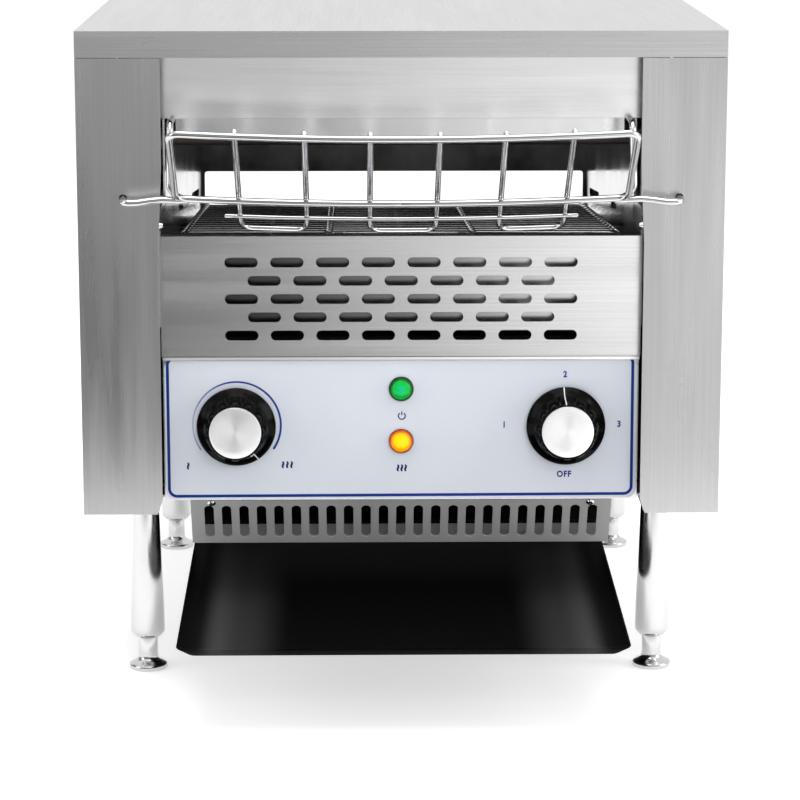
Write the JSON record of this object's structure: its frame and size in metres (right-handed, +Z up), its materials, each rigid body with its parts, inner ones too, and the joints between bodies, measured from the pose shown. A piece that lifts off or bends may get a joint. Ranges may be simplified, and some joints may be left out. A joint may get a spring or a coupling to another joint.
{
  "type": "conveyor toaster",
  "caption": "Countertop conveyor toaster with a wire belt through a heated tunnel, a sloping wire loading rack in front, a knob panel and a pull-out tray for the toast.",
  "frame": {"origin": "centre of the footprint at the height of the floor, under the feet", "axes": "+Z is up, the operator's side faces -Y, +X is to the operator's right"},
  "size_m": [0.368, 0.451, 0.387],
  "materials": {
    "brushed_stainless": "fine brushed stainless steel",
    "polished_stainless": "polished stainless steel",
    "galvanised_steel": "plain zinc coated steel",
    "enamelled_panel": "smooth pale blue-grey paint",
    "printed_overlay": "satin printed film, pale blue-grey with a blue line",
    "black_coating": "semi-gloss black non-stick coating",
    "heater_sheath": "heat-tinted dark steel sheath",
    "white_ceramic": "unglazed white ceramic",
    "belt_wire": "heat-darkened stainless wire",
    "machined_steel": "machined steel",
    "bronze_bush": "sintered bronze",
    "chain_steel": "oiled steel chain",
    "cast_gearbox": "cast zinc alloy housing",
    "motor_black": "black painted can",
    "knob_black": "glossy black plastic",
    "cap_aluminium": "spun aluminium disc",
    "switch_black": "moulded black plastic",
    "board_green": "circuit board with its control",
    "green_lens": "translucent green plastic",
    "amber_lens": "translucent amber plastic",
    "terminal_white": "moulded white plastic",
    "leg_metal": "polished metal",
    "chromed_wire": "chromed steel wire"
  },
  "bodies": {
    "chassis": {"base_frame": "galvanised_steel", "left_inner_wall": "polished_stainless", "right_inner_wall": "polished_stainless", "left_chamber_liner": "polished_stainless", "right_chamber_liner": "polished_stainless", "left_side_cover": "brushed_stainless", "right_side_cover": "brushed_stainless", "hood": "brushed_stainless", "hood_front_panel": "brushed_stainless", "rear_panel": "brushed_stainless", "chamber_rear_wall": "polished_stainless", "front_vent_panel": "brushed_stainless", "front_heat_shield": "polished_stainless", "control_panel": "enamelled_panel", "control_overlay": "printed_overlay", "lower_vent_panel": "brushed_stainless", "chute_ceiling": "galvanised_steel", "control_heat_shield": "galvanised_steel", "return_slide": "polished_stainless", "tray_runners": "galvanised_steel", "upper_heating_tubes": "heater_sheath", "lower_heating_tubes": "heater_sheath", "heater_insulators": "white_ceramic", "upper_reflector": "polished_stainless", "lower_reflector": "polished_stainless", "conveyor_belt": "belt_wire", "belt_links": "belt_wire", "belt_support_rails": "galvanised_steel", "shaft_bearings": "bronze_bush", "drive_chain": "chain_steel", "motor_bracket": "galvanised_steel", "drive_gearbox": "cast_gearbox", "drive_motor": "motor_black", "speed_control": "board_green", "selector_switch": "switch_black", "lamp_holders": "knob_black", "power_lamp": "green_lens", "heat_lamp": "amber_lens", "terminal_block": "terminal_white", "cord_gland": "knob_black", "legs": "leg_metal", "panel_screws": "machined_steel"},
    "front_roller": {"front_shaft": "machined_steel", "front_belt_sprockets": "machined_steel"},
    "rear_roller": {"rear_shaft": "machined_steel", "rear_belt_sprockets": "machined_steel", "rear_chain_sprocket": "machined_steel"},
    "motor_wheel": {"motor_sprocket": "machined_steel"},
    "speed_dial": {"speed_knob": "knob_black", "speed_knob_cap": "cap_aluminium", "speed_spindle": "machined_steel"},
    "selector_dial": {"selector_knob": "knob_black", "selector_knob_cap": "cap_aluminium", "selector_spindle": "machined_steel"},
    "tray": {"collection_tray": "black_coating"},
    "rack": {"loading_rack": "chromed_wire"},
    "foot_front_left": {"front_left_foot": "leg_metal"},
    "foot_front_right": {"front_right_foot": "leg_metal"},
    "foot_rear_left": {"rear_left_foot": "leg_metal"},
    "foot_rear_right": {"rear_right_foot": "leg_metal"}
  },
  "joints": [
    {"name": "rear_roller_turn", "type": "hinge", "parent": "chassis", "child": "rear_roller", "pos_m": [0, 0.16872, 0.22679], "axis": [-1, 0, 0], "continuous": true, "deforming": ["conveyor_belt", "belt_links", "drive_chain"]},
    {"name": "front_roller_turn", "type": "hinge", "parent": "chassis", "child": "front_roller", "pos_m": [0, -0.0909, 0.2469], "axis": [-1, 0, 0], "continuous": true},
    {"name": "motor_wheel_turn", "type": "hinge", "parent": "chassis", "child": "motor_wheel", "pos_m": [0.15, 0.16872, 0.14424], "axis": [-1, 0, 0], "continuous": true},
    {"name": "speed_dial_turn", "type": "hinge", "parent": "chassis", "child": "speed_dial", "pos_m": [-0.0958, -0.1255, 0.157], "axis": [0, 1, 0], "range_deg": [-292, 0]},
    {"name": "selector_dial_turn", "type": "hinge", "parent": "chassis", "child": "selector_dial", "pos_m": [0.0958, -0.1255, 0.157], "axis": [0, 1, 0], "range_deg": [-180, 90]},
    {"name": "tray_slide", "type": "slide", "parent": "chassis", "child": "tray", "axis": [0, -0.9992, -0.0401], "range_m": [0, 0.13]},
    {"name": "rack_lift_off", "type": "slide", "parent": "chassis", "child": "rack", "axis": [0, -1, 0], "range_m": [0, 0.06]},
    {"name": "front_left_foot_screw", "type": "slide", "parent": "chassis", "child": "foot_front_left", "axis": [0, 0, -1], "range_m": [0, 0.012]},
    {"name": "front_right_foot_screw", "type": "slide", "parent": "chassis", "child": "foot_front_right", "axis": [0, 0, -1], "range_m": [0, 0.012]},
    {"name": "rear_left_foot_screw", "type": "slide", "parent": "chassis", "child": "foot_rear_left", "axis": [0, 0, -1], "range_m": [0, 0.012]},
    {"name": "rear_right_foot_screw", "type": "slide", "parent": "chassis", "child": "foot_rear_right", "axis": [0, 0, -1], "range_m": [0, 0.012]}
  ],
  "couplings": [
    {"joint": "front_roller_turn", "follows": "rear_roller_turn", "ratio": 1},
    {"joint": "motor_wheel_turn", "follows": "rear_roller_turn", "ratio": 1}
  ]
}
